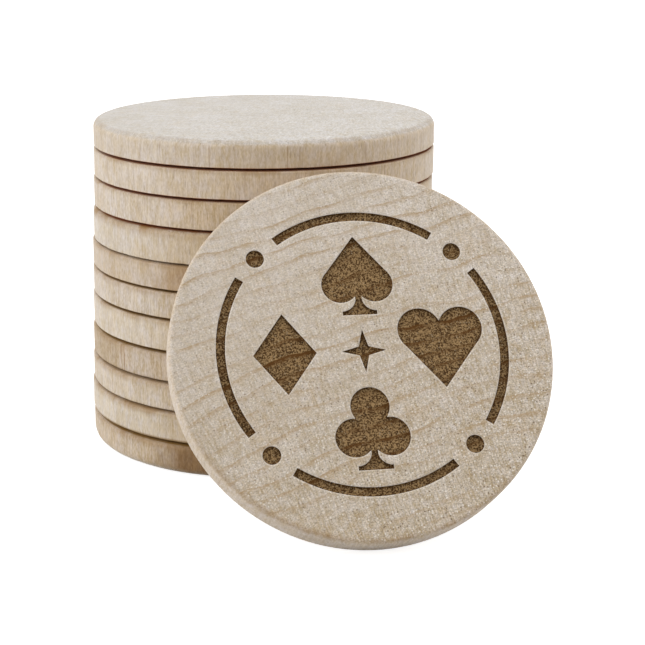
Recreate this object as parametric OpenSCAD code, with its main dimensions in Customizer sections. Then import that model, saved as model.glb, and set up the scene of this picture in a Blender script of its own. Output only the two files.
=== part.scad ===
// Wooden game tokens: a straight stack of plain ones, and one engraved token that leans on the stack.
// Each token is a slice of a round rod with eased edges. All lengths are in millimetres.
// The origin is the middle of the bottom token's underside, on the table. +Z is up, and -Y is the front.

/* [Token] */
// Diameter of every token
token_d = 38.1; // [30:0.1:50]
// Nominal thickness of a token
token_t = 3.3; // [2.8:0.05:5]
// Rounding of the edge that faces up, or forward on the leaning token
upper_edge_r = 0.4; // [0.2:0.05:0.8]
// Rounding of the edge that faces down, or back on the leaning token
lower_edge_r = 0.2; // [0.1:0.05:0.6]

/* [Stack] */
// Number of tokens in the stack
stack_count = 11; // [8:1:20]
// How unevenly the tokens are sliced, as a multiple of slice_errors
slice_spread = 1; // [0:0.1:1.5]
// How untidily the tokens are piled, as a multiple of pile_offsets
pile_spread = 1; // [0:0.1:1.5]

/* [Leaning token] */
// Angle between the leaning token and upright
lean_angle = 33; // [20:0.5:45]
// Turn of its face to the right, as seen from the front
lean_turn = 0; // [-20:0.5:20]
// Distance of its middle to the right of the stack's middle, along its face
lean_side = 6; // [-12:0.1:12]
// Free gap between the leaning token and the stack
lean_gap = 0.15; // [0.1:0.05:0.5]

/* [Engraving] */
// Depth of the engraved design
engraving_depth = 0.3; // [0.1:0.05:1]
// Outer diameter of the broken ring round the design
ring_d = 29; // [27:0.5:33]
// Width of the ring's line
ring_line = 0.9; // [0.4:0.1:1.5]
// Angle of each break in the ring
ring_break = 22; // [12:1:40]
// Diameter of the dot in each break
dot_d = 1.8; // [0.8:0.1:2.5]
// Height of each of the four card suits
suit_h = 8.2; // [5:0.1:9]
// Distance from the token's middle to the middle of each suit
suit_reach = 7.8; // [7:0.1:8.4]
// Width across the points of the star in the middle
star_d = 4.4; // [2:0.1:5]

/* [Hidden] */
$fn = 96;
token_r = token_d / 2;
// How far the engraving's cut runs out past the face
cut_margin = 1;

// How much thicker or thinner than nominal each slice is, from the bottom of the stack up
slice_errors = [0.2, 0.15, -0.15, 0.05, 0.3, -0.2, -0.3, 0.4, 0, -0.05, -0.3];
// How far each token lies from the bottom one, to the right and to the back
pile_offsets = [[0, 0], [-0.05, 0.05], [0.1, -0.05], [0.2, 0.05], [0.3, 0], [0.4, -0.05],
    [0.45, 0], [0.6, -0.15], [0.75, 0], [0.85, -0.05], [0.9, 0.05]];
// Colours that the slices take in turn
wood_tints = ["#bfa98c", "#d0bf9f", "#cdb99b", "#bda585", "#d6c8ae", "#cdb795", "#cbb296", "#d5c6ac"];

function slice_t(i) = token_t + slice_spread * slice_errors[i % len(slice_errors)];
function slice_z(i) = i == 0 ? 0 : slice_z(i - 1) + slice_t(i - 1);
function slice_offset(i) = pile_spread * pile_offsets[i % len(pile_offsets)];
stack_h = slice_z(stack_count);

// Directions on the table: the way the leaning token faces, and its right-hand side
lean_front = [sin(lean_turn), -cos(lean_turn)];
lean_right = [cos(lean_turn), sin(lean_turn)];
// Height of the middle of its back face, with its rounded rear edge on the table
lean_z = (token_r - lower_edge_r) * cos(lean_angle) + lower_edge_r * (1 - sin(lean_angle));
reach_r = token_r + lean_gap;

// How far forward the leaning token's middle has to be for one point of its rear edge, at an angle
// round from the top, to clear the upright wall of a stacked token whose middle is at place
function rim_seat(place, angle) =
    let (side = lean_side + token_r * sin(angle) - place * lean_right)
    let (over = lean_z + token_r * cos(angle) * cos(lean_angle) > stack_h)
    over || abs(side) > reach_r ? 0
        : place * lean_front + sqrt(reach_r ^ 2 - side ^ 2) + token_r * cos(angle) * sin(lean_angle);

// The same for its back face, where that lies on one point of the top token's upper edge
function face_seat(place, angle) =
    let (side = reach_r * sin(angle) + place * lean_right - lean_side)
    let (rise = (stack_h - lean_z) / cos(lean_angle))
    norm([side, rise]) > token_r ? 0
        : place * lean_front + reach_r * cos(angle) + rise * sin(lean_angle);

seat_angles = [-90:1:90];
lean_reach = max(concat(
    [for (i = [0:stack_count - 1]) for (a = seat_angles) rim_seat(slice_offset(i), a)],
    [for (a = seat_angles) face_seat(slice_offset(stack_count - 1), a)]));
lean_middle = lean_reach * lean_front + lean_side * lean_right;

// Shares of a suit's height that give the suits their shape
lobe_share = 0.27;
lobe_apart_share = 0.25;
shoulder_share = 0.99;
club_lobe_share = 0.235;
club_apart_share = 0.215;
diamond_w_share = 0.76;
stem_h_share = 0.5;
stem_neck_share = 0.04;
stem_foot_share = 0.21;
stem_lip_share = 0.05;
flare_share = 1.02;
leaf_share = 0.84;
// Share of the star's width between the notches on either side of it
star_waist_share = 0.3;

function token_name(i) = str("token_", i < 9 ? "0" : "", i + 1);

// Half of a token's cross-section, to be turned about its axis
module token_section(t) {
    square([token_r - lower_edge_r, t / 2]);
    translate([0, t / 2])
        square([token_r - upper_edge_r, t / 2]);
    translate([0, lower_edge_r])
        square([token_r, t - lower_edge_r - upper_edge_r]);
    translate([token_r - lower_edge_r, lower_edge_r])
        circle(lower_edge_r);
    translate([token_r - upper_edge_r, t - upper_edge_r])
        circle(upper_edge_r);
}

// A plain slice of the rod, standing on the plane z = 0
module token_slice(t) {
    rotate_extrude()
        token_section(t);
}

// A pointed leaf with two round lobes and its point down: a heart, or a spade when it is turned over.
// Each straight side ends at a shoulder just inside the lobe, close to where it would touch its rim
module lobed_leaf(h) {
    lobe_r = lobe_share * h;
    lobe_x = lobe_apart_share * h;
    drop = h - lobe_r;
    slope = atan2(drop, lobe_x) - asin(lobe_r / norm([lobe_x, drop]));
    shoulder = [lobe_x, 0] + shoulder_share * lobe_r * [sin(slope), -cos(slope)];
    translate([0, h / 2 - lobe_r]) {
        for (side = [-1, 1])
            translate([side * lobe_x, 0])
                circle(lobe_r);
        polygon([[0, -drop], shoulder, [lobe_x, 0], [-lobe_x, 0], [-shoulder.x, shoulder.y]]);
    }
}

// The stalk of a spade or a club, which flares into a foot along two arcs that cut a little into it
module suit_stem(h) {
    neck = stem_neck_share * h;
    foot = stem_foot_share * h;
    flare_r = flare_share * (foot - neck);
    flare_h = flare_r + stem_lip_share * h;
    translate([-neck, -h / 2])
        square([2 * neck, stem_h_share * h]);
    difference() {
        translate([-foot, -h / 2])
            square([2 * foot, flare_h]);
        for (side = [-1, 1])
            translate([side * foot, flare_h - h / 2])
                circle(flare_r);
    }
}

module heart(h) {
    lobed_leaf(h);
}

module spade(h) {
    translate([0, h * (1 - leaf_share) / 2])
        rotate(180)
            lobed_leaf(leaf_share * h);
    suit_stem(h);
}

// Three round lobes whose middles stand on a triangle with equal sides
module club(h) {
    lobe_r = club_lobe_share * h;
    apart = club_apart_share * h;
    top = h / 2 - lobe_r;
    low = top - 2 * apart * sin(60);
    middles = [[0, top], [apart, low], [-apart, low]];
    polygon(middles);
    for (middle = middles)
        translate(middle)
            circle(lobe_r);
    suit_stem(h);
}

module diamond(h) {
    half_w = diamond_w_share * h / 2;
    polygon([[0, -h / 2], [half_w, 0], [0, h / 2], [-half_w, 0]]);
}

// A star with four points
module star(d) {
    polygon([for (k = [0:7]) (k % 2 == 0 ? 1 : star_waist_share) * d / 2 * [cos(45 * k), sin(45 * k)]]);
}

// A ring with a break at each diagonal
module broken_ring() {
    far = ring_d;
    difference() {
        circle(d = ring_d);
        circle(d = ring_d - 2 * ring_line);
        for (quarter = [0:3])
            rotate(90 * quarter + 45)
                polygon([[0, 0], far * [cos(ring_break / 2), -sin(ring_break / 2)],
                    far * [cos(ring_break / 2), sin(ring_break / 2)]]);
    }
}

// The whole design, as it is seen from the front
module design() {
    broken_ring();
    star(star_d);
    for (quarter = [0:3])
        rotate(90 * quarter + 45)
            translate([(ring_d - ring_line) / 2, 0])
                circle(d = dot_d);
    translate([0, suit_reach])
        spade(suit_h);
    translate([suit_reach, 0])
        heart(suit_h);
    translate([0, -suit_reach])
        club(suit_h);
    translate([-suit_reach, 0])
        diamond(suit_h);
}

// One token of the stack, counted from 0 at the bottom
module stack_token(i) {
    color(wood_tints[i % len(wood_tints)])
        translate([slice_offset(i).x, slice_offset(i).y, slice_z(i)])
            token_slice(slice_t(i));
}

module engraved_token() {
    color("#c4b39b")
        translate([lean_middle.x, lean_middle.y, lean_z])
            rotate([90 - lean_angle, 0, lean_turn])
                difference() {
                    token_slice(token_t);
                    translate([0, 0, token_t - engraving_depth])
                        linear_extrude(engraving_depth + cut_margin)
                            design();
                }
}

for (i = [0:stack_count - 1])
    stack_token(i);
engraved_token();
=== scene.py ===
# %% [markdown]
# Wooden game tokens: eleven plain ones in a stack, and an engraved one that leans on it.
# The solids come packed and already stand in their places, so they are loaded as a fixed frame.
# Everything that is made below follows their boxes, in metres, and rides on their bodies.

# %% Load the solids
import math
from dataclasses import dataclass, fields, replace

import bmesh
import bpy
from mathutils import Euler, Matrix, Vector, noise


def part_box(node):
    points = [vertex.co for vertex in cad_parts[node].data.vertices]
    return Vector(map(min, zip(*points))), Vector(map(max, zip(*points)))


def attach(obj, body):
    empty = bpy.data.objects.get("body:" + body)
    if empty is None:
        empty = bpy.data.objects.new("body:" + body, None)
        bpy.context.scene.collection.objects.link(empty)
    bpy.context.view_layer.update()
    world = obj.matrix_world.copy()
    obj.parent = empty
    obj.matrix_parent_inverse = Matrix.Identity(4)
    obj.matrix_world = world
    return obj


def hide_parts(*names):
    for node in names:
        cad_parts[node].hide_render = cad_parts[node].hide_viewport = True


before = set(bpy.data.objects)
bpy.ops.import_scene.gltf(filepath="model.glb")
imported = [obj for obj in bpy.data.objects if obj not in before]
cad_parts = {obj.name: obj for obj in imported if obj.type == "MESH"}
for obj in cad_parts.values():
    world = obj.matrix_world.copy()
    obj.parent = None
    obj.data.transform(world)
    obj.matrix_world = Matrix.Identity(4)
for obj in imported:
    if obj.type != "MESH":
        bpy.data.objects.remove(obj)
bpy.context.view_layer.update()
MM = 0.001

# %% [markdown]
# The camera stands a little to the left of the stack and looks down at it by about 15 degrees.
# A long lens from close by keeps the discs nearly round, as a product picture does. A camera that was
# placed by eye would need many tries, so this place was worked out from the outlines of the tokens.

# %% Camera
CAMERA_PLACE = Vector((-25.75, -189.89, 63.25)) * MM
CAMERA_DOWN = math.radians(14.874)
CAMERA_RIGHT = math.radians(9.94)
CAMERA_LENS = 95.63
SENSOR_W = 36
NEAREST = 10 * MM

camera_data = bpy.data.cameras.new("camera")
camera_data.sensor_width = SENSOR_W
camera_data.lens = CAMERA_LENS
camera_data.clip_start = NEAREST
camera = bpy.data.objects.new("camera", camera_data)
camera.location = CAMERA_PLACE
camera.rotation_euler = (math.pi / 2 - CAMERA_DOWN, 0, -CAMERA_RIGHT)
bpy.context.scene.collection.objects.link(camera)
bpy.context.scene.camera = camera
bpy.context.scene.view_settings.view_transform = "Standard"
print("camera lens in mm:", CAMERA_LENS)

# %% [markdown]
# Wood, floor and light are all built from nodes. Written by hand, each node takes three lines and its
# maths is hard to read back. So a small class wraps a socket and turns Python's operators into Math
# nodes, and one method makes every other kind of node: its settings first, then its sockets.

# %% A shorthand for nodes
class Tone:
    """A value or colour on its way through a finish."""

    def __init__(self, finish, socket):
        self.finish = finish
        self.socket = socket

    def math(self, operation, *values):
        return self.finish.node("ShaderNodeMath", {"operation": operation}, dict(enumerate(values)))

    def __add__(self, other):
        return self.math("ADD", self, other)

    def __sub__(self, other):
        return self.math("SUBTRACT", self, other)

    def __rsub__(self, other):
        return self.math("SUBTRACT", other, self)

    def __mul__(self, other):
        return self.math("MULTIPLY", self, other)

    def __truediv__(self, other):
        return self.math("DIVIDE", self, other)

    def __pow__(self, other):
        return self.math("POWER", self, other)

    __radd__ = __add__
    __rmul__ = __mul__


class Finish:
    """The nodes of one material, or of the world."""

    def __init__(self, owner):
        owner.use_nodes = True
        self.tree = owner.node_tree
        self.tree.nodes.clear()

    def node(self, kind, settings=None, sockets=None, output=0):
        made = self.tree.nodes.new(kind)
        for name, value in (settings or {}).items():
            setattr(made, name, value)
        for key, value in (sockets or {}).items():
            if isinstance(value, Tone):
                self.tree.links.new(value.socket, made.inputs[key])
            else:
                made.inputs[key].default_value = value
        return Tone(self, made.outputs[output]) if made.outputs else None


print("shorthand:", Tone.__name__, "and", Finish.__name__)

# %% [markdown]
# The set stands on white and is lit as in a light tent: a wide soft lamp overhead, one on each side,
# and a little light from all around. White paper would throw much light up at the rims, so the floor
# itself is only pale. For the camera alone it adds a share of white, which leaves a soft shadow.

# %% Floor and surroundings
FLOOR_PALE = 0.6
FLOOR_LIFT = 0.8
FLOOR_HALF_W = 3
FLOOR_DROP = 0.02 * MM
ROOM_LIGHT = 0.5


def seen_directly(finish):
    """1 where the camera, or a reflection of it, looks straight at the surroundings."""
    camera_ray, glossy_ray, clear_ray = (
        finish.node("ShaderNodeLightPath", output=f"Is {kind} Ray")
        for kind in ("Camera", "Glossy", "Transmission"))
    return camera_ray.math("MINIMUM", camera_ray + glossy_ray + clear_ray, 1)


def pale_floor():
    bm = bmesh.new()
    bmesh.ops.create_grid(bm, x_segments=1, y_segments=1, size=FLOOR_HALF_W)
    bmesh.ops.translate(bm, verts=bm.verts, vec=(0, 0, -FLOOR_DROP))
    mesh = bpy.data.meshes.new("floor")
    bm.to_mesh(mesh)
    bm.free()
    floor = bpy.data.objects.new("floor", mesh)
    bpy.context.scene.collection.objects.link(floor)
    material = bpy.data.materials.new("pale_floor")
    finish = Finish(material)
    paper = finish.node("ShaderNodeBsdfDiffuse", None, {"Color": (FLOOR_PALE, FLOOR_PALE, FLOOR_PALE, 1)})
    lift = finish.node("ShaderNodeEmission", None, {"Strength": seen_directly(finish) * FLOOR_LIFT})
    both = finish.node("ShaderNodeAddShader", None, {0: paper, 1: lift})
    finish.node("ShaderNodeOutputMaterial", None, {"Surface": both})
    mesh.materials.append(material)
    return floor


world = bpy.data.worlds.new("white_room")
bpy.context.scene.world = world
room = Finish(world)
room_level = ROOM_LIGHT + (1 - ROOM_LIGHT) * seen_directly(room)
air = room.node("ShaderNodeBackground", None, {"Color": (1, 1, 1, 1), "Strength": room_level})
room.node("ShaderNodeOutputWorld", None, {"Surface": air})
print("stage:", pale_floor().name)

# %% [markdown]
# Three square lamps do the rest. A small lamp would draw hard shadows in every gap, so each is about as
# large as it is far away. The left one is the strongest: the rims brighten to the left. The table holds
# the place and the size of each in metres, and its power in watts.

# %% Soft lamps
LAMP_AIM = Vector((3, -10, 18)) * MM
LAMPS = {
    "lamp_above": ((0.03, 0.05, 0.5), 0.5, 1.0),
    "lamp_left": ((-0.75, -0.12, 0.3), 0.6, 3.8),
    "lamp_right": ((0.75, -0.15, 0.35), 0.6, 2.35),
}


def soft_lamp(name, place, size, power):
    """A square lamp that faces the tokens."""
    data = bpy.data.lights.new(name, "AREA")
    data.shape = "SQUARE"
    data.size = size
    data.energy = power
    lamp = bpy.data.objects.new(name, data)
    lamp.location = place
    lamp.rotation_euler = (LAMP_AIM - Vector(place)).to_track_quat("-Z", "Y").to_euler()
    bpy.context.scene.collection.objects.link(lamp)
    return lamp


lamps = [soft_lamp(name, *numbers) for name, numbers in LAMPS.items()]
print("lamps:", [lamp.name for lamp in lamps])

# %% [markdown]
# A token is a slice of a round rod, so its cross-section is turned about its axis, as on a lathe.
# A cylinder with bevelled edges would do too, but a turned section can also have a crown: tumbling
# rounds the edges off and takes a tenth of a millimetre or two from the faces near the rim, and that
# opens the dark gaps between stacked tokens. The corners are rounded while the section is a bent line.

# %% Turn a plain token
first_low, first_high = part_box("token_01")
TOKEN_R = (first_high.x - first_low.x) / 2
TURN_STEPS = 240
# Shares of the radius at which the faces have a ring of points
FACE_ROWS = (0.5, 0.85, 0.89, 0.91, 0.925, 0.94)
WALL_ROWS = 6
ROUNDING_STEPS = 7
CROWN_W = 1.8 * MM
SAME_POINT = 0.0001 * MM
TRIAL_SIZES = (3.3 * MM, 0.4 * MM, 0.15 * MM, 0.1 * MM, 0.1 * MM)


def half_section(bm, thickness, upper_edge, lower_edge, upper_crown, lower_crown):
    """The outline of half a token, from the axis along the lower face, up the wall and back."""
    lower = [bm.verts.new((share * TOKEN_R, 0, 0)) for share in (0,) + FACE_ROWS]
    corners = [bm.verts.new((TOKEN_R, 0, 0)), bm.verts.new((TOKEN_R, 0, thickness))]
    upper = [bm.verts.new((share * TOKEN_R, 0, thickness)) for share in FACE_ROWS[::-1] + (0,)]
    line = lower + corners + upper
    for pair in zip(line, line[1:]):
        bm.edges.new(pair)
    for height, radius in ((0, lower_edge), (thickness, upper_edge)):
        place = Vector((TOKEN_R, 0, height))
        corner = min(bm.verts, key=lambda vert: (vert.co - place).length)
        bmesh.ops.bevel(bm, geom=[corner], offset=radius, offset_type="OFFSET", segments=ROUNDING_STEPS,
                        profile=0.5, affect="VERTICES", material=-1)
    wall = max(bm.edges, key=lambda edge: abs(edge.verts[0].co.z - edge.verts[1].co.z))
    bmesh.ops.subdivide_edges(bm, edges=[wall], cuts=WALL_ROWS)
    for vert in bm.verts:
        outer = max(0, (vert.co.x - TOKEN_R) / CROWN_W + 1)
        height = vert.co.z / thickness
        vert.co.z += outer ** 2 * (lower_crown * (1 - height) - upper_crown * height)


def turned_token(*sizes):
    bm = bmesh.new()
    half_section(bm, *sizes)
    bmesh.ops.spin(bm, geom=list(bm.verts) + list(bm.edges), cent=(0, 0, 0), axis=(0, 0, 1),
                   angle=math.tau, steps=TURN_STEPS, use_merge=True)
    bmesh.ops.remove_doubles(bm, verts=bm.verts, dist=SAME_POINT)
    bmesh.ops.recalc_face_normals(bm, faces=bm.faces)
    return bm


trial = turned_token(*TRIAL_SIZES)
print("turned token:", len(trial.verts), "points,", len(trial.faces), "faces")
trial.free()

# %% [markdown]
# Sanding and handling leave no edge perfectly even: the rounding is wider in one place than in the
# next, and the rim is not quite a circle. Each point near the edge is moved by a smooth noise, which is
# the same at every run. The moves stay within a few hundredths of a millimetre, except at small nicks,
# and none goes out past the solid. A rate says how often a noise changes on the way round.

# %% Wear the edges
WOBBLE = 0.03 * MM
WOBBLE_RATE = 4
SOFTENING = 0.05 * MM
SOFTENING_RATE = 12
NICK = 0.1 * MM
NICK_RATE = 26
NICK_START = 0.3
WORN_FROM = FACE_ROWS[-1]


def worn(bm, thickness, seed):
    """Moves the points near the edges of a token that stands on z = 0 at the origin."""
    for vert in bm.verts:
        r = math.hypot(vert.co.x, vert.co.y)
        if r < WORN_FROM * TOKEN_R:
            continue
        out = Vector((vert.co.x, vert.co.y, 0)) / r
        side = 1 if vert.co.z > thickness / 2 else -1
        level = Vector((0, 0, seed + side))
        near_rim = (r / TOKEN_R - WORN_FROM) / (1 - WORN_FROM)
        near_face = (abs(vert.co.z / thickness - 0.5) * 2) ** 6
        move = WOBBLE * noise.noise(out * WOBBLE_RATE + Vector((0, 0, seed)))
        soft = SOFTENING * (0.5 + noise.noise(out * SOFTENING_RATE + level)) * near_rim ** 2 * near_face
        nick = NICK * max(0, noise.noise(out * NICK_RATE + level) - NICK_START) * near_face * near_rim
        vert.co += out * min(move * near_rim - nick, TOKEN_R - r)
        vert.co.z -= side * (max(0, soft) + nick)


print("wear in mm:", [round(size / MM, 3) for size in (WOBBLE, SOFTENING, NICK)])

# %% [markdown]
# Each token of the stack is turned to its solid's thickness and set in its place. No two slices are
# alike: the table below holds, in hundredths of a millimetre, how far the upper and the lower edge are
# rounded and how much the upper and the lower face fall away near the rim. A slot groups the tokens
# whose rims have the same tint.

# %% Set the stack
HUNDREDTH = 0.01 * MM
EDGES = {
    "token_01": (48, 110, 20, 0),
    "token_02": (45, 14, 16, 20),
    "token_03": (45, 14, 16, 18),
    "token_04": (45, 14, 16, 18),
    "token_05": (35, 10, 12, 18),
    "token_06": (30, 10, 10, 16),
    "token_07": (32, 10, 10, 14),
    "token_08": (60, 8, 12, 14),
    "token_09": (30, 8, 10, 15),
    "token_10": (25, 8, 10, 16),
    "token_11": (85, 8, 6, 16),
}
SLOTS = {"pale_wood": (3, 6, 9, 10, 11), "cream_wood": (2, 5, 8), "tan_wood": (1, 4, 7)}
WEAR_STEP = 7.3
stack_pieces = {}


def finished_piece(bm, name, body):
    """Makes the mesh an object that stands for a solid and rides on its body."""
    mesh = bpy.data.meshes.new(name)
    bm.to_mesh(mesh)
    bm.free()
    piece = bpy.data.objects.new(name, mesh)
    bpy.context.scene.collection.objects.link(piece)
    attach(piece, body)
    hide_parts(body)
    return piece


def slot_of(node):
    return next(name for name, numbers in SLOTS.items() if int(node[-2:]) in numbers)


for node, hundredths in EDGES.items():
    low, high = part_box(node)
    thickness = high.z - low.z
    bm = turned_token(thickness, *(HUNDREDTH * value for value in hundredths))
    worn(bm, thickness, WEAR_STEP * int(node[-2:]))
    middle = (low + high) / 2
    bmesh.ops.translate(bm, verts=bm.verts, vec=(middle.x, middle.y, low.z))
    for face in bm.faces:
        face.smooth = True
    stack_pieces[node] = finished_piece(bm, f"wood_{node}", node)
print("stack:", len(stack_pieces), "tokens")

# %% [markdown]
# The engraved token leans, and its cuts are easier to find in its own frame, which starts in the middle
# of its back face, with z out of its front. That place follows from the box of the solid: the token
# stands on its rounded rear edge, and its rounded front edge reaches furthest forward.

# %% Frame of the engraved token
LEAN_ANGLE = math.radians(33)
TOKEN_T = 3.3 * MM
FRONT_EDGE = 0.4 * MM
REAR_EDGE = 0.2 * MM

lean_low, lean_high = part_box("engraved_token")
lean_sin = math.sin(LEAN_ANGLE)
lean_cos = math.cos(LEAN_ANGLE)
lean_rise = (TOKEN_R - REAR_EDGE) * lean_cos + REAR_EDGE * (1 - lean_sin)
lean_reach = (TOKEN_R - FRONT_EDGE) * lean_sin + (TOKEN_T - FRONT_EDGE) * lean_cos + FRONT_EDGE
LEAN_PLACE = Vector(((lean_low.x + lean_high.x) / 2, lean_low.y + lean_reach, lean_low.z + lean_rise))
LEAN_TURN = (math.pi / 2 - LEAN_ANGLE, 0, 0)
LEAN = Matrix.Translation(LEAN_PLACE) @ Euler(LEAN_TURN).to_matrix().to_4x4()
TO_TOKEN = LEAN.inverted()
LEAN_FRONT = LEAN.to_3x3() @ Vector((0, 0, 1))
print("middle of its back face in mm:", [round(c / MM, 3) for c in LEAN_PLACE])

# %% [markdown]
# The engraved token starts from a copy of its solid, because the cut design is already in it. A laser
# burns the wood deepest along the border of each cut, so a narrow band is inset on both sides of every
# border, and an attribute named edge is 1 on the border and fades to 0 across the band. On the front face
# that band carries a painted highlight, a pale line along the lip of each cut. The points of the solid
# stay where they are, so the copy is exactly as large.

# %% Engraved token
CUT_DEPTH = 0.3 * MM
CUT_FLOOR = TOKEN_T - CUT_DEPTH
BURN_BAND = 0.2 * MM
# A band on the front face round each cut, for a painted highlight
HIGHLIGHT_BAND = 0.16 * MM
LEVEL_MARGIN = 0.01 * MM
DESIGN_R = 0.9 * TOKEN_R
FACING = 0.999
SIDEWAYS = 0.1
SHARP_ANGLE = math.radians(30)


def flat_faces(bm, height):
    """The faces that look straight out of the token's front at this height."""
    return [face for face in bm.faces if face.normal.dot(LEAN_FRONT) > FACING
            and abs((TO_TOKEN @ face.calc_center_median()).z - height) < LEVEL_MARGIN]


def in_a_cut(vert):
    place = TO_TOKEN @ vert.co
    return place.z > CUT_FLOOR - LEVEL_MARGIN and place.xy.length < DESIGN_R


def cut_walls(bm):
    """The faces inside the engraved cuts that look sideways."""
    sideways = [face for face in bm.faces if abs(face.normal.dot(LEAN_FRONT)) < SIDEWAYS]
    return [face for face in sideways if all(map(in_a_cut, face.verts))]


bm = bmesh.new()
bm.from_mesh(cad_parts["engraved_token"].data)
bmesh.ops.remove_doubles(bm, verts=bm.verts, dist=SAME_POINT)
bm.normal_update()
for height, band in ((CUT_FLOOR, BURN_BAND), (TOKEN_T, HIGHLIGHT_BAND)):
    bmesh.ops.inset_region(bm, faces=flat_faces(bm, height), thickness=band, use_even_offset=True)
bm.normal_update()
edge_layer = bm.verts.layers.float.new("edge")
walls = cut_walls(bm)
for face in walls:
    for vert in face.verts:
        vert[edge_layer] = 1
burnt = set(walls) | set(flat_faces(bm, CUT_FLOOR))
for face in bm.faces:
    face.smooth = True
    face.material_index = 1 if face in burnt else 0
print("cut walls:", len(walls), "burnt faces:", len(burnt))
engraved_piece = finished_piece(bm, "wood_engraved_token", "engraved_token")
engraved_piece.data.set_sharp_from_angle(angle=SHARP_ANGLE)

# %% [markdown]
# The slices are cut across the rod, so the faces show end grain and the rim shows long grain. Painting
# the two apart would leave a seam. A solid pattern in the token's own millimetres gives both at once:
# it is stretched along the fibres, and the saw and the lathe simply cut through it.

# %% Helpers for a solid pattern
def token_millimetres(finish, place, turn):
    """Millimetres in the token's own frame, with z along the fibres."""
    where = finish.node("ShaderNodeTexCoord", output="Object")
    return finish.node("ShaderNodeMapping", {"vector_type": "TEXTURE"},
                       {"Vector": where, "Location": place, "Rotation": turn, "Scale": (MM, MM, MM)})


def split(vector):
    parts = vector.finish.node("ShaderNodeSeparateXYZ", None, {"Vector": vector})
    return [Tone(vector.finish, socket) for socket in parts.socket.node.outputs]


def laid(point, across, along, seed):
    """Coordinates in cells of this many millimetres across the fibres and along them."""
    return point.finish.node("ShaderNodeMapping", None, {
        "Vector": point, "Location": (seed, 2 * seed, 3 * seed),
        "Scale": (1 / across, 1 / across, 1 / along)})


def uneven(cells, detail):
    """A noise around 0 over these coordinates."""
    sockets = {"Vector": cells, "Scale": 1.0, "Detail": detail}
    return cells.finish.node("ShaderNodeTexNoise", None, sockets) - 0.5


def ramp(value, low, high):
    """0 below low and 1 above high, with a smooth rise between."""
    return value.finish.node("ShaderNodeMapRange", {"interpolation_type": "SMOOTHSTEP"},
                             {"Value": value, "From Min": low, "From Max": high})


def crisp(value, half_width):
    """A noise around 0 with clearer borders: from -0.5 to 0.5."""
    return ramp(value, -half_width, half_width) - 0.5


def clamped(tone):
    return tone.math("MINIMUM", tone.math("MAXIMUM", tone, 0), 1)


print("helpers for a solid pattern are ready")

# %% [markdown]
# Grain has several layers. Growth rings are thin darker lines round the middle of the trunk, which lies
# far outside the token. Rays cross them, and short dashes follow them. Pores are dots on the face and
# short lines on the rim, and the fibres draw upright lines on the rim. Each has cells of its own size,
# and its own step of the seed, so that no two layers fall on each other.

# %% Sizes of the grain
RIM_R = TOKEN_R / MM
# Noises: millimetres across the fibres and along them, detail, and a step that sets the pattern apart
RING_WAVES = (9, 80, 1.0, 0)
RING_RIPPLES = (1.5, 40, 1.0, 5)
RING_FADES = (3.5, 30, 1.0, 11)
FIBRES = (0.22, 2.2, 2.0, 23)
GRIT = (0.14, 0.4, 2.0, 29)
MOTTLE = (0.9, 1.6, 3.0, 31)
CLOUDS = (4, 7, 2.0, 37)
WARMTH = (3, 4, 2.0, 43)
HUE = (0.55, 1.1, 3.0, 97)
# Lines round the trunk: millimetres around it and along its radius, and a step
RAYS = (0.2, 1.3, 0)
DASHES = (0.38, 0.15, 3)
# Dots: millimetres across the fibres and along them, size in cells, share of empty cells, and a step
PORES = (0.36, 1.6, 0.28, 0.6, 47)
FLECKS = (0.3, 0.7, 0.36, 0.5, 53)
DOT_DRIFTS = (4, 30, 1.0)
print("rim radius in mm:", round(RIM_R, 3), "finest cells:", GRIT[0])

# %% [markdown]
# The layers are laid once for each material and kept apart, so that a finish can weigh them as it needs.
# A single picture of wood would be simpler, but it would look the same on every token.

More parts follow.
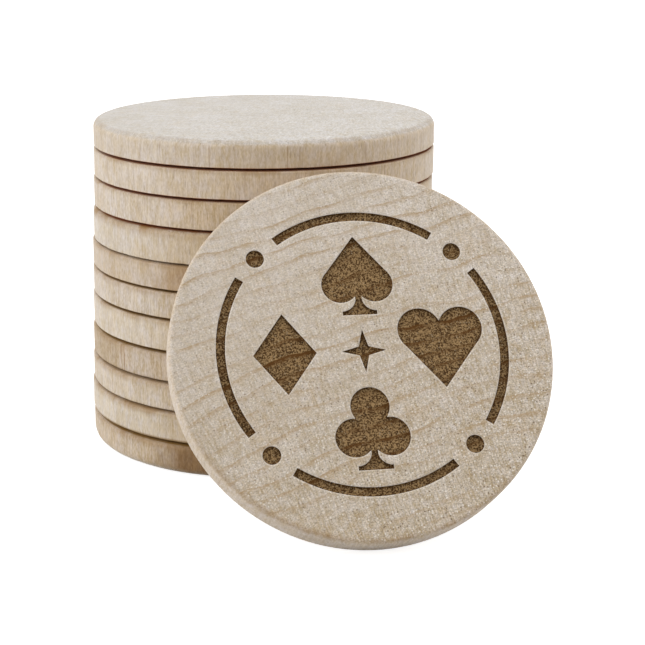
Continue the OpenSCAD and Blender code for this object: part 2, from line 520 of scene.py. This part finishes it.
# %% Grain
class Grain:
    """The layers of one token's grain: values over its solid pattern, most of them around 0."""

    def __init__(self, finish, place, turn, pith, ring_gap, seed):
        self.finish = finish
        self.seed = seed
        self.point = token_millimetres(finish, place, turn)
        self.x, self.y, self.z = split(self.point)
        self.r = (self.x * self.x + self.y * self.y) ** 0.5
        self.lay_rings(pith, ring_gap)
        self.fibre = crisp(self.noise(*FIBRES), 0.16)
        self.grit = self.noise(*GRIT)
        self.mottle = self.noise(*MOTTLE)
        self.cloud = self.noise(*CLOUDS)
        self.warmth = self.noise(*WARMTH)
        self.hue = self.noise(*HUE)
        self.pores = self.dots(*PORES)
        self.flecks = self.dots(*FLECKS)

    def noise(self, across, along, detail, step):
        return uneven(laid(self.point, across, along, self.seed + step), detail)

    def toward(self, azimuth):
        """From -1 to 1 across the token, rising towards this side of it."""
        turn = math.radians(azimuth)
        return (self.x * math.cos(turn) + self.y * math.sin(turn)) / RIM_R

    def trunk_lines(self, around, reach, across, along, step):
        cells = self.finish.node("ShaderNodeCombineXYZ", None, {
            "X": around / across, "Y": reach / along, "Z": self.z * 0.8 + self.seed + step})
        return crisp(uneven(cells, 2.0), 0.15)

    def lay_rings(self, pith, ring_gap):
        """Sets late, a thin line for each year, and ray and dash, fine lines across and along the rings."""
        pith_away = math.hypot(*pith)
        dx = self.x - pith[0]
        dy = self.y - pith[1]
        reach = (dx * dx + dy * dy) ** 0.5
        around = dy.math("ARCTAN2", dy, dx) * pith_away
        self.ray = self.trunk_lines(around, reach, *RAYS)
        self.dash = self.trunk_lines(around, reach, *DASHES)
        self.toward_bark = (reach - pith_away) / RIM_R
        years = (reach + self.noise(*RING_WAVES) * 3.0 + self.noise(*RING_RIPPLES) * 0.3) / ring_gap
        season = years.math("FRACT", years)
        line = ramp(season, 0.4, 0.88) ** 2.5 * (1 - ramp(season, 0.89, 0.96))
        lot = self.finish.node("ShaderNodeTexWhiteNoise", {"noise_dimensions": "1D"},
                               {"W": years.math("FLOOR", years) + self.seed})
        here = ramp(self.noise(*RING_FADES), -0.2, 0.12)
        self.late = line * (0.2 + 0.8 * lot) * (0.25 + 0.75 * here) * (0.9 + self.dash * 0.4)

    def dots(self, across, along, size, share, step):
        """Small spots in drifts: most cells of the pattern stay empty."""
        cells = laid(self.point, across, along, self.seed + step)
        spots = self.finish.node("ShaderNodeTexVoronoi", None, {"Vector": cells, "Scale": 1.0})
        lot = split(Tone(self.finish, spots.socket.node.outputs["Color"]))[0]
        drift = self.noise(*DOT_DRIFTS, step + 1)
        filled = ramp(lot + drift * 1.6, share, share + 0.15)
        return (1 - ramp(spots, size * 0.4, size)) * filled


def weighed(grain, weights):
    """The named layers of the grain, each times its weight, added up."""
    first, *others = [getattr(grain, layer) * weight for layer, weight in weights.items()]
    return sum(others, first)


print("grain: rings, rays, dashes, fibres, grit, mottle, clouds, warmth, hue, pores and flecks")

# %% [markdown]
# All tokens share one recipe and differ in a few amounts. Handing over each amount by itself would give
# the recipe about twenty arguments, so one record gathers them. Its values are the usual ones, and a
# token names only those in which it differs.

# %% Look of a token
@dataclass
class Look:
    """The amounts in which one token's wood can differ from the others."""

    shade: float = 1.0  # of the rim, times its tint
    contrast: float = 1.0  # of the end grain
    heart: float = 0.0  # how much deeper the colour gets towards the heart of the trunk
    lines: float = 0.7  # strength of the growth rings
    gloss: float = 0.35
    # Painted highlight: a pale line along the lip of each engraved cut, where its edge would catch the
    # light
    cut_highlight: float = 0.0  # strength of the pale line round the engraved cuts
    rough: float = 1.0  # contrast of the long grain
    streaks: float = 0.3  # strength of the brown streaks on the rim
    straw: float = 1.0  # how much of the rim is the colour of straw
    # Painted warm bounce: the golden side faces the leaning token; this also sets the real golden patches
    gold_and_bounce: float = 1.0  # strength of the golden side of the rim
    bounce_side: float = 278  # where that side is, in degrees round the token
    # A browner patch: a real stain on 04 and 07, painted shade of the leaning token on 02, both on 01
    stain_and_shade: tuple = ()  # side in degrees, where the patch starts and where it is full, and its tones
    # The browned upper edge is partly wear where tokens rub, and partly painted shade under the token above
    burnish_and_shade: float = 0.6  # strength of the browned upper edge
    reach: float = 0.6  # how far down the rim that goes, in millimetres
    burnish_and_shade_side: float = None  # the side it is on, in degrees, or None for all the way round
    # The dark lower edge and the dark ring on the upper face are painted shade of the gaps between tokens
    lower_shade: float = 0.0  # strength of the dark lower edge
    fade: float = 0.06  # how softly that ends, in millimetres
    ring_shade: float = 0.75  # strength of the dark ring on the upper face


print("amounts in a look:", len(fields(Look)))

# %% [markdown]
# The plain finish mixes a pale and a deep colour by the sum of these layers. The pale one is nearly grey
# and the deep one is golden: wood that only gets lighter and darker looks like stone. Thin coats of
# other tones lie over that. They are multiplied, so that the pattern below still shows.

# %% Mixing colours
PALER = (1.0, 1.2, 1.65)
DEEPER = (1.0, 1.3, 1.95)


def blend(share, first, second):
    """The first colour where share is 0, and the second where it is 1."""
    sockets = {0: share, 6: first, 7: second}
    return share.finish.node("ShaderNodeMix", {"data_type": "RGBA"}, sockets, output=2)


def glazed(share, colour, tones):
    """The colour under a thin coat of this tone, which leaves its pattern."""
    sockets = {0: share, 6: colour, 7: tones + (1,)}
    settings = {"data_type": "RGBA", "blend_type": "MULTIPLY"}
    return share.finish.node("ShaderNodeMix", settings, sockets, output=2)


def shaded(level, colour):
    """The colour made lighter or darker, with its hue as it is."""
    return level.finish.node("ShaderNodeVectorMath", {"operation": "SCALE"}, {0: colour, "Scale": level})


def tinted(tint, tones):
    return tuple(c * tone for c, tone in zip(tint, tones)) + (1,)


def pale_and_deep(depth, tint, spread):
    """The tint, from paler and greyer at depth 0 to deeper and more golden at depth 1."""
    pale = tinted(tint, [1 + spread * tone for tone in PALER])
    deep = tinted(tint, [1 - spread * tone for tone in DEEPER])
    return blend(clamped(depth), pale, deep)


print("colours can be blended, glazed and shaded")

# %% [markdown]
# Faces and rims get a colour each, because end grain soaks up light and looks greyer than the long grain
# of the rim. Which layers count, and by how much, is in the tables. The face is coarser on one side, as
# sanding leaves it. The rim is golden on its front: a painted warm bounce from the leaning token in front
# of the stack, over golden patches that the wood has.

# %% Colours of plain wood
PORE_BROWN = (0.15, 0.095, 0.05, 1)
FLECK_AND_HIGHLIGHT_PALE = (0.82, 0.77, 0.7, 1)
LATE_GOLD = (0.4, 0.27, 0.14, 1)
STREAK_BROWN = (0.33, 0.2, 0.11, 1)
GOLDEN_AND_BOUNCE = (0.97, 0.86, 0.68)
ROSY = (1.0, 0.95, 0.88)
STRAW = (1.0, 0.985, 0.92)
RIM_STRAW = (1.0, 0.96, 0.83)
MIDDLE_DEPTH = 0.47
FACE_SPREAD = 0.26
RIM_SPREAD = 0.18
FACE_FIGURE = {"dash": 0.12, "ray": 0.3, "mottle": 0.7}
FACE_SPECKLE = {"grit": 1.15, "dash": 0.1}
RIM_FIGURE = {"fibre": 0.38, "grit": 1.5, "mottle": 0.8}
RIM_STREAKS = (0.25, 9, 1.0, 71)
ROUGH_SIDE = -40


def end_grain_colour(grain, tint, look):
    coarse = (1 + grain.toward(ROUGH_SIDE) * 0.4) * look.contrast
    figure = weighed(grain, FACE_FIGURE) * coarse
    depth = MIDDLE_DEPTH + figure + grain.cloud * 0.5 - grain.toward_bark * look.heart
    colour = pale_and_deep(depth, tint, FACE_SPREAD)
    colour = glazed(ramp(grain.hue, -0.2, 0.2), colour, STRAW)
    colour = shaded(1 - weighed(grain, FACE_SPECKLE) * coarse, colour)
    colour = glazed(ramp(grain.mottle + grain.warmth, 0.0, 0.3) * 0.6, colour, ROSY)
    colour = blend(grain.late * look.lines, colour, LATE_GOLD)
    colour = blend(clamped(grain.flecks * 0.6 * coarse), colour, FLECK_AND_HIGHLIGHT_PALE)
    return blend(clamped(grain.pores * (0.75 * coarse - 0.15)), colour, PORE_BROWN)


def long_grain_colour(grain, tint, look):
    depth = MIDDLE_DEPTH + weighed(grain, RIM_FIGURE) * look.rough + grain.cloud * 0.7
    colour = pale_and_deep(depth, tint, RIM_SPREAD)
    colour = glazed(clamped(ramp(grain.hue, -0.2, 0.2) * look.straw), colour, RIM_STRAW)
    # Painted warm bounce on the side that faces the leaning token, and real golden patches
    side = ramp(grain.toward(look.bounce_side) + grain.cloud * 0.5, 0.35, 0.95)
    patch = ramp(grain.warmth, 0.0, 0.25)
    colour = glazed(clamped(side * 0.8 + patch * 0.4) * look.gold_and_bounce, colour, GOLDEN_AND_BOUNCE)
    streak = ramp(grain.noise(*RIM_STREAKS), 0.17, 0.25)
    colour = blend(streak * look.streaks, colour, STREAK_BROWN)
    return blend(grain.pores * 0.25, colour, PORE_BROWN)


def stained_and_shaded(grain, colour, azimuth, start, full, tones):
    """A browner patch on one side: stain on some tokens, painted shade from the leaning token on some."""
    reach = grain.toward(azimuth) + grain.mottle * 0.08 + grain.cloud * 0.06
    return glazed(ramp(reach, start, full), colour, tones)


print("wood colours: end grain and long grain")

# %% [markdown]
# The edges look different again. The upper one is browned down the rim, partly as wear where tokens rub
# on each other and partly as painted shade under the token above. The lower edge, and a ring of the upper
# face just inside its rounding, are darkened with painted shade: the shade in the gaps between tokens.
# Masks follow the rounding that each token was turned with. A painted line would do from the front, but
# these masks run all the way round.

# %% Browned edges and painted gap shade
# Partly the brown of rubbed edges, partly painted shade below each gap
BURNISH_AND_SHADE_BROWN = (0.29, 0.16, 0.052, 1)
BURNISH_AND_SHADE_WAVES = (1.3, 40, 2.0, 83)
BURNISH_AND_SHADE_PATCHES = (2.5, 60, 2.0, 89)
LOWER_SHADE_WAVES = (1.5, 40, 2.0, 61)


# Partly wear and partly painted shade: below the token above, each upper edge is darkened
def burnished_and_shaded(grain, look, top):
    """1 where the upper face turns into the rim, and 0 as far down the wall as the look says."""
    depth = top - grain.z + grain.noise(*BURNISH_AND_SHADE_WAVES) * 0.4
    near_rim = ramp(grain.r, RIM_R - look.reach - 0.5, RIM_R - look.reach * 0.6)
    patch = 0.5 + ramp(grain.noise(*BURNISH_AND_SHADE_PATCHES), -0.1, 0.15) * 0.5
    share = (1 - ramp(depth, 0.0, look.reach)) * near_rim * patch
    if look.burnish_and_shade_side is None:
        return share
    return share * ramp(grain.toward(look.burnish_and_shade_side), 0.3, 0.9)


# Painted shade: the dark lower edge stands for the shade in the gap under each token
def shaded_lower_edge(grain, height, fade):
    """1 on the lower edge up to this height."""
    level = grain.z + grain.noise(*LOWER_SHADE_WAVES) * 0.06
    return (1 - ramp(level, height, height + fade)) * ramp(grain.r, RIM_R - 1.2, RIM_R - 0.7)


# Painted shade: this ring lies inside the gap, where the token above shades the one below
def shaded_upper_ring(grain, top):
    """1 on a narrow ring of the upper face, just inside its rounded edge."""
    return ramp(grain.r, RIM_R - 1.5, RIM_R - 0.9) * ramp(grain.z, top - 0.05, top + 0.02)


# The painted gap shade is full on the front and the back, and fades out on the sides
def front_and_back(grain):
    """0 on the two sides of a token, and 1 on its front and its back."""
    return ramp(grain.y.math("ABSOLUTE", grain.y), 0.0, 8.0)


def cut_border(finish):
    """1 along the border of the engraved cuts, and 0 where a mesh has none."""
    return finish.node("ShaderNodeAttribute", {"attribute_name": "edge"}, output="Fac")


print("browned edge:", BURNISH_AND_SHADE_BROWN[:3])

# %% [markdown]
# Now the layers come together. A dull sheen comes from the loose fibres that sanding raises. The painted
# gap shade has none, so it is a second shader, and the masks mix the two.

# %% Plain wood
WOOD_RELIEF = {"dash": 0.2, "grit": 1.0, "mottle": 0.6, "pores": -0.6}
WOOD_RELIEF_DEPTH = 0.06 * MM
WOOD_ROUGHNESS = 0.55
SHEEN = 0.04
SHEEN_ROUGHNESS = 0.45


def wood_colour(grain, tints, look, top):
    """End grain on the faces, long grain on the rim, and over both what the look adds."""
    face_tint, rim_tint = tints
    on_rim = ramp(grain.r, RIM_R - 0.3, RIM_R - 0.04)
    face_colour = end_grain_colour(grain, face_tint, look)
    colour = blend(on_rim, face_colour, long_grain_colour(grain, rim_tint, look))
    if look.stain_and_shade:
        colour = stained_and_shaded(grain, colour, *look.stain_and_shade)
    # Painted highlight along the lip of each engraved cut
    if look.cut_highlight:
        colour = blend(cut_border(grain.finish) * look.cut_highlight, colour, FLECK_AND_HIGHLIGHT_PALE)
    # The browned upper edge: partly wear, partly painted shade
    return blend(burnished_and_shaded(grain, look, top) * look.burnish_and_shade, colour, BURNISH_AND_SHADE_BROWN)


def relief(grain, weights, depth):
    """A fine unevenness of the surface, this deep."""
    return grain.finish.node("ShaderNodeBump", None, {
        "Strength": 0.5, "Distance": depth, "Height": weighed(grain, weights)})


def gap_shaded(grain, surface, look, top, brown, height):
    """Painted gap shade on the lower edge, up to this height, and on a ring of the upper face."""
    gap_shade_bsdf = grain.finish.node("ShaderNodeBsdfPrincipled", None, {
        "Base Color": brown, "Roughness": 1.0, "Specular IOR Level": 0.0})
    share = clamped(shaded_lower_edge(grain, height, look.fade) * look.lower_shade + shaded_upper_ring(grain, top) * look.ring_shade)
    return grain.finish.node("ShaderNodeMixShader", None, {
        0: share * front_and_back(grain), 1: surface, 2: gap_shade_bsdf})


def wood(name, growth, tints, look, top, gap_shade=None):
    """Solid wood for one token, from how it grew and the middle colours of its end and long grain."""
    material = bpy.data.materials.new(name)
    finish = Finish(material)
    grain = Grain(finish, *growth)
    surface = finish.node("ShaderNodeBsdfPrincipled", None, {
        "Base Color": wood_colour(grain, tints, look, top),
        "Roughness": WOOD_ROUGHNESS + grain.grit * 0.3,
        "Normal": relief(grain, WOOD_RELIEF, WOOD_RELIEF_DEPTH),
        "Specular IOR Level": look.gloss, "Sheen Weight": SHEEN, "Sheen Roughness": SHEEN_ROUGHNESS})
    if gap_shade:
        surface = gap_shaded(grain, surface, look, top, *gap_shade)
    finish.node("ShaderNodeOutputMaterial", None, {"Surface": surface})
    return material


print("the plain wood finish is ready")

# %% [markdown]
# No two tokens of the stack have the same colour, because they were cut from different rods. Three
# tints, one for each slot, are made a little paler or deeper from token to token, and the pattern of
# each starts from its own seed and turns its own way. The painted shade in the gaps is redder
# between the upper tokens.

# %% Wood for the stack
FACE_GREY = (0.545, 0.472, 0.398)
# Painted sheen: the top face is tinted paler and greyer, as the white room reflected at a grazing view
TOP_SHEEN_GREY = (0.535, 0.504, 0.478)
RIM_TINTS = {
    "pale_wood": (0.575, 0.495, 0.425),
    "cream_wood": (0.6, 0.528, 0.46),
    "tan_wood": (0.54, 0.45, 0.37),
}
LOOKS = {
    # The front patch of 01 and 02 is painted shade of the leaning token, and on 01 also a darker stain
    "token_01": Look(shade=0.98, rough=1.5, streaks=0.4, straw=1.5, burnish_and_shade=0.8, reach=1.1, ring_shade=0.8,
                     stain_and_shade=(270, 0.66, 0.86, (0.44, 0.33, 0.2))),
    "token_02": Look(shade=0.98, straw=1.5, burnish_and_shade=0.8, reach=0.95, lower_shade=0.75, fade=0.25, ring_shade=0.2,
                     stain_and_shade=(270, 0.8, 0.98, (0.78, 0.68, 0.52))),
    "token_03": Look(shade=0.98, rough=1.2, straw=1.5, burnish_and_shade=0.95, reach=1.0, lower_shade=0.1, fade=0.25,
                     ring_shade=0.3),
    "token_04": Look(shade=0.93, rough=1.7, streaks=0.9, reach=1.0, lower_shade=0.2, fade=0.25,
                     stain_and_shade=(190, 0.91, 0.965, (0.8, 0.73, 0.6))),
    "token_05": Look(reach=0.9, lower_shade=0.9),
    "token_06": Look(shade=0.98, rough=1.3, reach=1.0, lower_shade=0.8),
    "token_07": Look(reach=0.8, lower_shade=0.7, ring_shade=0.1, stain_and_shade=(252, 0.85, 1.0, (0.74, 0.62, 0.48))),
    "token_08": Look(shade=0.97, burnish_and_shade=0.95, reach=1.3, lower_shade=0.1),
    "token_09": Look(rough=1.2, streaks=0.6, lower_shade=0.95),
    "token_10": Look(shade=1.03, streaks=0.45, gold_and_bounce=0.55, lower_shade=1.0),
    "token_11": Look(shade=0.97, contrast=0.7, lines=0.15, gloss=0.5, streaks=0.45, gold_and_bounce=0.55,
                     burnish_and_shade=0.35, reach=0.5, lower_shade=1.0, ring_shade=0.0),
}
# Colours of the painted shade in the gaps between tokens
GAP_SHADE_RED = (0.24, 0.06, 0.012, 1)
GAP_SHADE_OLIVE = (0.22, 0.115, 0.022, 1)
FIRST_RED = 8
PITH_AWAY = 60
RING_TURN = 2.4
RING_GAP = 1.9
SEED_STEP = 3.7
BOUNCE_DRIFT = 3

for node, piece in stack_pieces.items():
    low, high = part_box(node)
    middle = (low + high) / 2
    number = int(node[-2:])
    turn = RING_TURN * number
    pith = (PITH_AWAY * math.cos(turn), PITH_AWAY * math.sin(turn))
    growth = ((middle.x, middle.y, low.z), (0, 0, 0), pith, RING_GAP, SEED_STEP * number)
    # The side with the painted warm bounce moves a little from token to token
    look = replace(LOOKS[node], bounce_side=LOOKS[node].bounce_side + BOUNCE_DRIFT * (number % 4))
    face_tint = TOP_SHEEN_GREY if number == len(stack_pieces) else FACE_GREY
    rim_tint = tuple(c * look.shade for c in RIM_TINTS[slot_of(node)])
    lower_edge, upper_crown, lower_crown = (value / 100 for value in EDGES[node][1:])
    top = (high.z - low.z) / MM - upper_crown
    # Painted gap shade: redder between the upper tokens, olive lower down, up to just above the lower
    # rounding
    gap_shade = (GAP_SHADE_RED if number >= FIRST_RED else GAP_SHADE_OLIVE, lower_crown + lower_edge * 0.4)
    material = wood(f"wood_{number:02d}", growth, (face_tint, rim_tint), look, top, gap_shade)
    piece.data.materials.append(material)
print("stack woods:", len(stack_pieces))

# %% [markdown]
# The engraved token lies open to the light, so its grain matters most. Its rings run in wide arcs from
# lower left to upper right: the middle of the trunk lies far below it. The end grain is made a little
# deeper in colour towards the middle of the trunk, so the foot of the token is darker than its top.

# %% Wood for the engraved token
ENGRAVED_PITH = (57, -212)
ENGRAVED_GAP = 1.6
ENGRAVED_SEED = 91.3
ENGRAVED_GROWTH = (tuple(LEAN_PLACE), LEAN_TURN, ENGRAVED_PITH, ENGRAVED_GAP, ENGRAVED_SEED)
# Its browned edge runs only along the foot of its face: painted shade where that edge faces the floor
ENGRAVED_LOOK = Look(contrast=1.1, heart=0.15, lines=0.85, cut_highlight=0.3, gold_and_bounce=0.0,
                     burnish_and_shade=0.5, reach=0.3, burnish_and_shade_side=262)
RIM_ROSY = (0.575, 0.487, 0.408)

engraved_wood = wood("wood_engraved", ENGRAVED_GROWTH, (FACE_GREY, RIM_ROSY), ENGRAVED_LOOK, TOKEN_T / MM)
engraved_piece.data.materials.append(engraved_wood)
print("engraved wood:", engraved_wood.name)

# %% [markdown]
# The laser chars the floor of each cut to a warm brown, and darkest along the border. The same grain
# shows through, with more contrast, because late wood and pores burn darker.

# %% Burnt wood
BURNT_PALE = (0.34, 0.215, 0.095, 1)
BURNT_DEEP = (0.052, 0.021, 0.002, 1)
BURNT_RING = (0.095, 0.036, 0.003, 1)
CHAR = (0.015, 0.008, 0.002, 1)
ASH = (0.38, 0.29, 0.18, 1)
BURNT_DEPTH = 0.52
BURNT_FIGURE = {"dash": 0.4, "grit": 5.5, "ray": 0.25, "mottle": 0.6}
BURNT_RELIEF = {"grit": 1.0, "mottle": 1.0}
BURNT_RELIEF_DEPTH = 0.08 * MM

burnt_material = bpy.data.materials.new("burnt_wood")
finish = Finish(burnt_material)
grain = Grain(finish, *ENGRAVED_GROWTH)
border = cut_border(finish)
depth = BURNT_DEPTH + weighed(grain, BURNT_FIGURE) + border * 0.6
colour = blend(clamped(depth), BURNT_PALE, BURNT_DEEP)
colour = blend(grain.flecks * 0.6 * (1 - border), colour, ASH)
colour = blend(clamped(grain.late * 1.3), colour, BURNT_RING)
colour = blend(grain.pores * 0.9, colour, CHAR)
shader = finish.node("ShaderNodeBsdfPrincipled", None, {
    "Base Color": colour, "Roughness": 0.75, "Specular IOR Level": 0.2,
    "Normal": relief(grain, BURNT_RELIEF, BURNT_RELIEF_DEPTH)})
finish.node("ShaderNodeOutputMaterial", None, {"Surface": shader})
engraved_piece.data.materials.append(burnt_material)
print("materials:", len(bpy.data.materials))
